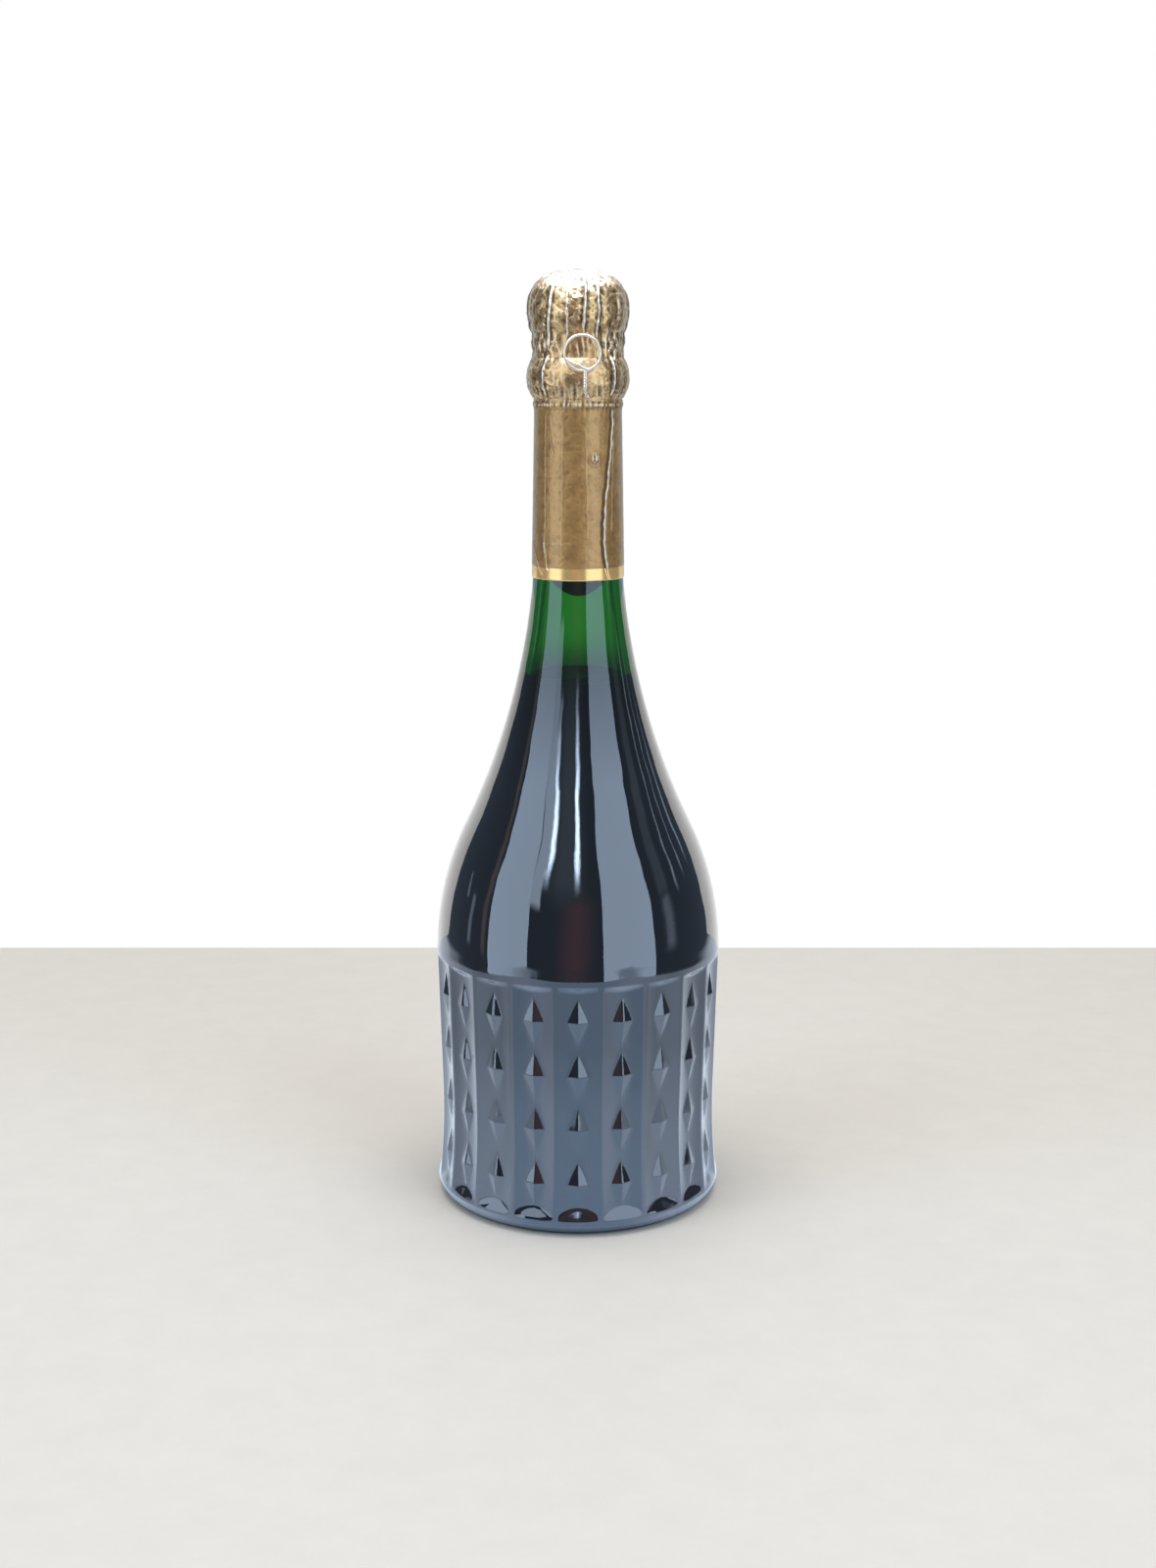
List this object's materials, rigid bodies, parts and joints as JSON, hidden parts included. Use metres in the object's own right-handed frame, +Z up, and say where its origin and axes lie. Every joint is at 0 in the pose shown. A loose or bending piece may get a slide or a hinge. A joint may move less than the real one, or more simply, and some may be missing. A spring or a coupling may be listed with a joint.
{
  "type": "sparkling wine bottle",
  "caption": "Full, unopened sparkling wine bottle of dark green glass with a faceted lower body of panels and raised diamonds, and a gold foil capsule over its neck.",
  "frame": {"origin": "middle of the flat ring that the bottle stands on", "axes": "+Z up the bottle's axis, -Y the front, where one panel faces forward and the wire loop hangs on the foil, +X to the right seen from the front"},
  "size_m": [0.0984, 0.0984, 0.3163],
  "materials": {
    "glass": "thick dark green bottle glass, glossy",
    "wine": "dark wine, clear liquid",
    "foil": "crinkled gold foil, satin, with a smooth bright gold hem",
    "wire": "bright steel wire"
  },
  "bodies": {
    "root": {"bottle": "glass", "wine": "wine", "capsule": "foil", "wire_loop": "wire"}
  },
  "joints": []
}
